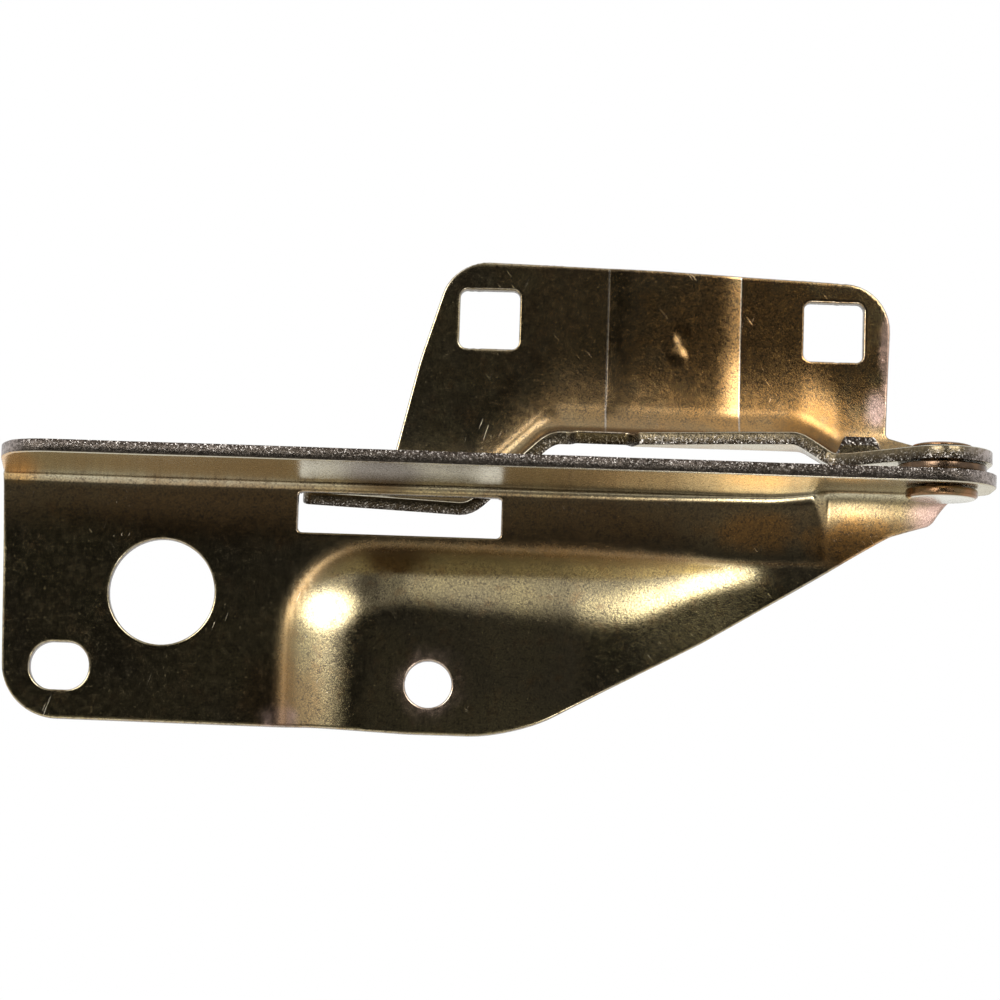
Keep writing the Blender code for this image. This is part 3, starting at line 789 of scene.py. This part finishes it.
even = (1, 1, 1)
bodyZinc = passivatedZinc("body_zinc", [
    ("amber", 0.95, (-93, -7, 38.8), 8, 0.5, (1, 2.2, 0.6)),
    # painted light: a pale tint brightens the left of the flange's underside, as if lit from below
    ("pale", 0.9, (-64, -6, 38.8), 38, 0.3, (1, 1, 0.12)),
    # painted reflection: a dark brown patch on the flange's underside, for a dark thing mirrored there
    ("shadeUmber", 0.9, (-23.5, -7, 38.2), 11, 0.1, (1, 2.4, 0.4)),
    # painted shade: a faint dark brown dims the middle and right of the flange's underside
    ("shadeUmber", 0.25, (36, -6, 38.8), 32, 0.4, (1, 1, 0.1)),
    ("brown", 0.8, (-55, 4, 32), 22, 0.8, (1.8, 0.3, 0.4)),
    ("brown", 0.7, (12, 4, 31), 14, 0.8, (2.2, 0.3, 0.6)),
    ("brown", 0.7, (-41, 4, -4), 12, 0.6, even),
    ("pink", 0.7, (-14, 0, -0.2), 8.5, 1.0, even),
    ("pink", 0.8, (-42, 4, -8), 5, 0.8, even),
    ("orange", 0.7, (47, 4, 31), 9, 0.8, (1.2, 1, 0.6)),
    ("orange", 0.85, (66, 4, 29), 12, 0.8, (1, 1, 0.6)),
    ("pink", 0.95, (82, 2, 34), 8, 0.5, even),
], [
    ("brown", 0.5, 28, 36.5, 3, 0.0),
    # painted light: pale tints brighten the bend and the flange's underside, as if lit from below
    ("pale", 0.6, 38.0, 41.5, 1.5, 0.06),
    ("pale", 0.6, 43, 62, 1.5, 0.14),
])
leafZinc = passivatedZinc("bonnet_zinc", [
    ("brown", 0.75, (36, 13, 66), 46, 0.8, (1.3, 0.3, 1)),
    # painted shade: a dark brown patch dims the highlight on the joggle's bend
    ("shadeUmber", 0.9, (58, 12, 50), 11, 0.6, even),
    ("orange", 0.4, (50, 13, 66), 26, 1.0, (1.3, 1, 1)),
    ("pink", 0.85, (70.5, 13, 56.5), 3.2, 0.8, (1, 1, 1.6)),
    ("pink", 0.7, (72.5, 13, 68), 3.0, 0.8, (0.7, 1, 4)),
], [
    # painted shade: brown and dark tints dim the bend up to the plate's foot
    ("brown", 0.6, 13.5, 21, 3, 0.04),
    ("dark", 0.3, 9, 14, 2, 0.08),
    # painted light: a pale tint brightens the flange and the start of its bend, as if lit from above
    ("pale", 0.8, -20, 8.5, 1.5, 0.08),
# painted highlights: pale lines along the swage's two creases
], (18.2, 44.0))
bodyEdge = shearedSteel("body_cut_edge", 0.36, (0.11, 0.092, 0.08), (0.09, 0.075, 0.06))
leafEdge = shearedSteel("bonnet_cut_edge", 0.45, (0.11, 0.10, 0.09), (0.10, 0.078, 0.045))
for piece, zinc, edge in ((bodyBracket, bodyZinc, bodyEdge), (bonnetBracket, leafZinc, leafEdge)):
    piece.data.materials.append(zinc)
    piece.data.materials.append(edge)
rivet.data.materials.append(
    turnedSteel("rivet_steel", (0.26, 0.14, 0.07), (0.15, 0.10, 0.05), (0.62, 0.62, 0.56)))
washer.data.materials.append(turnedSteel("washer_steel", (0.16, 0.10, 0.06), (0.09, 0.06, 0.04)))
bush.data.materials.append(turnedSteel("bush_steel", (0.50, 0.42, 0.26), (0.40, 0.34, 0.2)))
print("materials made")


# Camera, light and floor

def makeCamera():
    # the picture is taken from 7 degrees below, turned by 1.9 degrees
    target = Vector((-0.00165, 0.004, 0.0355))
    tilt = math.radians(7)
    ahead = Vector((0, math.cos(tilt), math.sin(tilt)))
    right = ahead.cross(Vector((0, 0, 1))).normalized()
    up = right.cross(ahead)
    facing = Matrix((right, up, -ahead)).transposed() @ Matrix.Rotation(math.radians(1.9), 3, "Z")
    data = bpy.data.cameras.new("photo_camera")
    data.sensor_width = 36
    data.lens = 113.7
    data.clip_start = 0.01
    camera = bpy.data.objects.new("photo_camera", data)
    camera.matrix_world = Matrix.Translation(target - ahead * 0.6) @ facing.to_4x4()
    bpy.context.scene.collection.objects.link(camera)
    bpy.context.scene.camera = camera


def makeWorld():
    # white all around, but for the field in front that the flats mirror: dark, with two soft panels
    world = bpy.data.worlds.new("studio")
    bpy.context.scene.world = world
    world.use_nodes = True
    tree = world.node_tree
    tree.nodes.clear()
    facing = addNode(tree, "ShaderNodeTexCoord").outputs["Generated"]

    def panel(centre, size, inner, strength):
        off = addNode(tree, "ShaderNodeVectorMath", {0: facing, 1: centre}, operation="SUBTRACT")
        off = addNode(tree, "ShaderNodeVectorMath", {0: off.outputs[0], 1: [1 / part for part in size]},
                      operation="MULTIPLY")
        away = addNode(tree, "ShaderNodeVectorMath", {0: off.outputs[0]}, operation="LENGTH").outputs["Value"]
        return addNode(tree, "ShaderNodeMapRange", {"Value": away, "From Min": 1.0, "From Max": inner,
                                                    "To Min": 0.0, "To Max": strength},
                       interpolation_type="SMOOTHSTEP").outputs[0]

    def join(kind, first, second):
        return addNode(tree, "ShaderNodeMath", {0: first, 1: second}, operation=kind).outputs[0]

    light = join("SUBTRACT", 1.0, panel((0.03, -1, 0.02), (0.70, 1.5, 0.50), 0.40, 0.98))
    between = panel((-0.17, -0.8, 0.55), (0.18, 0.8, 0.6), 0.1, 0.92)
    light = join("MULTIPLY", light, join("SUBTRACT", 1.0, between))
    for place in (
        ((-0.50, -0.85, 0.31), (0.30, 0.7, 0.24), 0.5, 9.0),
        ((0.32, -0.85, 0.45), (0.22, 0.7, 0.32), 0.40, 9.0),
        ((0.10, -0.95, 0.19), (0.13, 0.7, 0.12), 0.0, 0.10),
        ((0.03, -1, 0.05), (0.11, 0.8, 0.16), 0.0, 0.08),
    ):
        light = join("ADD", light, panel(*place))
    seen = addNode(tree, "ShaderNodeLightPath").outputs["Is Camera Ray"]
    back = addNode(tree, "ShaderNodeBackground", {
        "Color": (1, 1, 1, 1), "Strength": join("MAXIMUM", light, seen)})
    addNode(tree, "ShaderNodeOutputWorld", {"Surface": back.outputs[0]})


def makeFloor():
    # a pale floor below the hinge, which melts into the white background further out; in the metal
    # it is white near and behind, and darker far in front, with one glint for the pivot end
    level = -0.075
    bm = bmesh.new()
    bmesh.ops.create_circle(bm, cap_ends=True, segments=96, radius=3.0)
    bmesh.ops.translate(bm, verts=bm.verts[:], vec=(0, 0, level))
    mesh = bpy.data.meshes.new("floor")
    bm.to_mesh(mesh)
    bm.free()
    floor = bpy.data.objects.new("floor", mesh)
    bpy.context.scene.collection.objects.link(floor)
    material = bpy.data.materials.new("pale_floor")
    material.use_nodes = True
    tree = material.node_tree
    tree.nodes.clear()
    coord = addNode(tree, "ShaderNodeTexCoord").outputs["Object"]

    def around(centre, near, far, inner, outer, squeeze=1):
        off = addNode(tree, "ShaderNodeVectorMath", {0: coord, 1: centre}, operation="SUBTRACT").outputs[0]
        off = addNode(tree, "ShaderNodeVectorMath", {0: off, 1: (squeeze, 1, 1)}, operation="MULTIPLY").outputs[0]
        away = addNode(tree, "ShaderNodeVectorMath", {0: off}, operation="LENGTH").outputs["Value"]
        return addNode(tree, "ShaderNodeMapRange", {"Value": away, "From Min": near, "From Max": far,
                                                    "To Min": inner, "To Max": outer},
                       interpolation_type="SMOOTHSTEP").outputs[0]

    path = addNode(tree, "ShaderNodeLightPath")
    matt = addNode(tree, "ShaderNodeBsdfDiffuse", {"Color": (0.86, 0.86, 0.86, 1)}).outputs[0]
    white = addNode(tree, "ShaderNodeEmission", {"Color": (1, 1, 1, 1), "Strength": 1.0}).outputs[0]
    share = addNode(tree, "ShaderNodeMath", {0: around((0, 0, level), 0.12, 0.45, 0.35, 1.0),
                                             1: path.outputs["Is Camera Ray"]}, operation="MULTIPLY").outputs[0]
    plain = addNode(tree, "ShaderNodeMixShader", {0: share, 1: matt, 2: white}).outputs[0]
    dimming = addNode(tree, "ShaderNodeMath", {0: around((0, 0.6, level), 0.78, 1.15, 1.1, 0.17),
                                               1: around((0.035, -0.1, level), 0.03, 0.11, 0.3, 1.0)},
                      operation="MULTIPLY").outputs[0]
    glow = addNode(tree, "ShaderNodeMath", {0: around((0.067, -0.175, level), 0.0, 0.12, 10.0, 0.0, 3),
                                            1: dimming}, operation="ADD").outputs[0]
    mirrored = addNode(tree, "ShaderNodeEmission", {"Color": (1, 0.98, 0.94, 1), "Strength": glow}).outputs[0]
    both = addNode(tree, "ShaderNodeMixShader", {0: path.outputs["Is Glossy Ray"], 1: plain, 2: mirrored})
    addNode(tree, "ShaderNodeOutputMaterial", {"Surface": both.outputs[0]})
    mesh.materials.append(material)


def addLamp(name, spot, direction, distance, size, radiance):
    # a soft square lamp that shines on a spot of the hinge, given in millimetres
    data = bpy.data.lights.new(name, "AREA")
    data.shape = "RECTANGLE"
    data.size, data.size_y = size
    data.energy = radiance * math.pi * size[0] * size[1]
    lamp = bpy.data.objects.new(name, data)
    arm = Vector(direction).normalized()
    place = Matrix.Translation(Vector(spot) * mm + arm * distance)
    lamp.matrix_world = place @ arm.to_track_quat("Z", "Y").to_matrix().to_4x4()
    bpy.context.scene.collection.objects.link(lamp)


makeCamera()
makeWorld()
makeFloor()
addLamp("key_lamp", (0, 0, 35), (-0.6, -0.5, 0.9), 0.9, (0.3, 0.3), 3)
bpy.context.scene.view_settings.view_transform = "Standard"
